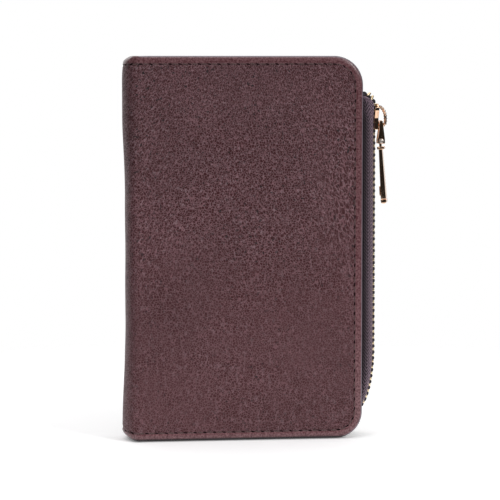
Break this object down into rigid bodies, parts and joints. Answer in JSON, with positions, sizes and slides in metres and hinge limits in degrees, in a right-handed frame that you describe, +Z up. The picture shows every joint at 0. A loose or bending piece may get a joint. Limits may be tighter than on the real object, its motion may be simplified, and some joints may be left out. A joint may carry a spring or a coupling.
{
  "type": "bifold wallet with zipped coin pouch",
  "caption": "Upright bifold leather wallet, closed, with a stitched edge, a rounded folded spine, card pockets inside and a zipped coin pouch whose metal zip runs down the free edge.",
  "frame": {"origin": "middle of the base of the whole part's bounding box, on the surface it stands on", "axes": "+Z up along the spine; the front cover faces -Y; +X from the spine towards the zip"},
  "size_m": [0.111, 0.022, 0.1576],
  "materials": {
    "cover_leather": "fine pebbled grain, satin",
    "inner_leather": "smooth matte",
    "lining": "fine twill",
    "board": "plain board",
    "thread": "waxed thread",
    "tape": "woven herringbone",
    "teeth": "pale gold plate",
    "slider_metal": "polished pale gold plate"
  },
  "bodies": {
    "rear_half": {"rear_cover_leather": "cover_leather", "rear_cover_thread": "thread", "rear_board": "board", "pouch_lining_rear": "lining", "note_pocket": "inner_leather", "pouch_front_panel": "inner_leather", "pouch_lining_front": "lining", "pouch_side_wall": "inner_leather", "pouch_gusset_bottom": "lining", "pouch_gusset_top": "lining", "zip_tape_front": "tape", "zip_tape_rear": "tape", "zip_teeth_front": "teeth", "zip_teeth_rear": "teeth", "zip_top_stop_front": "teeth", "zip_top_stop_rear": "teeth", "zip_bottom_stop": "teeth"},
    "spine": {"spine_leather": "cover_leather", "spine_lining": "lining"},
    "front_leaf": {"front_cover_leather": "cover_leather", "front_cover_thread": "thread", "front_board": "board", "front_lining": "lining", "card_panel": "inner_leather", "card_pocket_1": "inner_leather", "card_pocket_2": "inner_leather", "card_pocket_3": "inner_leather", "card_pocket_4": "inner_leather"},
    "slider": {"slider_body": "slider_metal", "slider_bridge": "slider_metal"},
    "pull_link": {"pull_link": "slider_metal", "pull_pin": "slider_metal"},
    "pull_leaf": {"pull_leaf": "slider_metal", "pull_collar": "slider_metal"}
  },
  "joints": [
    {"name": "spine_rear_fold", "type": "hinge", "parent": "rear_half", "child": "spine", "pos_m": [-0.04926, 0.011, 0.0788], "axis": [0, 0, -1], "range_deg": [0, 90]},
    {"name": "spine_front_fold", "type": "hinge", "parent": "spine", "child": "front_leaf", "pos_m": [-0.04926, -0.011, 0.0788], "axis": [0, 0, -1], "range_deg": [0, 90]},
    {"name": "slider_run", "type": "slide", "parent": "rear_half", "child": "slider", "axis": [0, 0, -1], "range_m": [0, 0.088]},
    {"name": "pull_link_swing", "type": "hinge", "parent": "slider", "child": "pull_link", "pos_m": [0.05279, 0.00355, 0.1303], "axis": [0, -1, 0], "range_deg": [0, 100]},
    {"name": "pull_leaf_swing", "type": "hinge", "parent": "pull_link", "child": "pull_leaf", "pos_m": [0.05279, 0.00355, 0.1223], "axis": [0, -1, 0], "range_deg": [0, 80]}
  ],
  "couplings": [
    {"joint": "spine_front_fold", "follows": "spine_rear_fold", "ratio": 1}
  ]
}
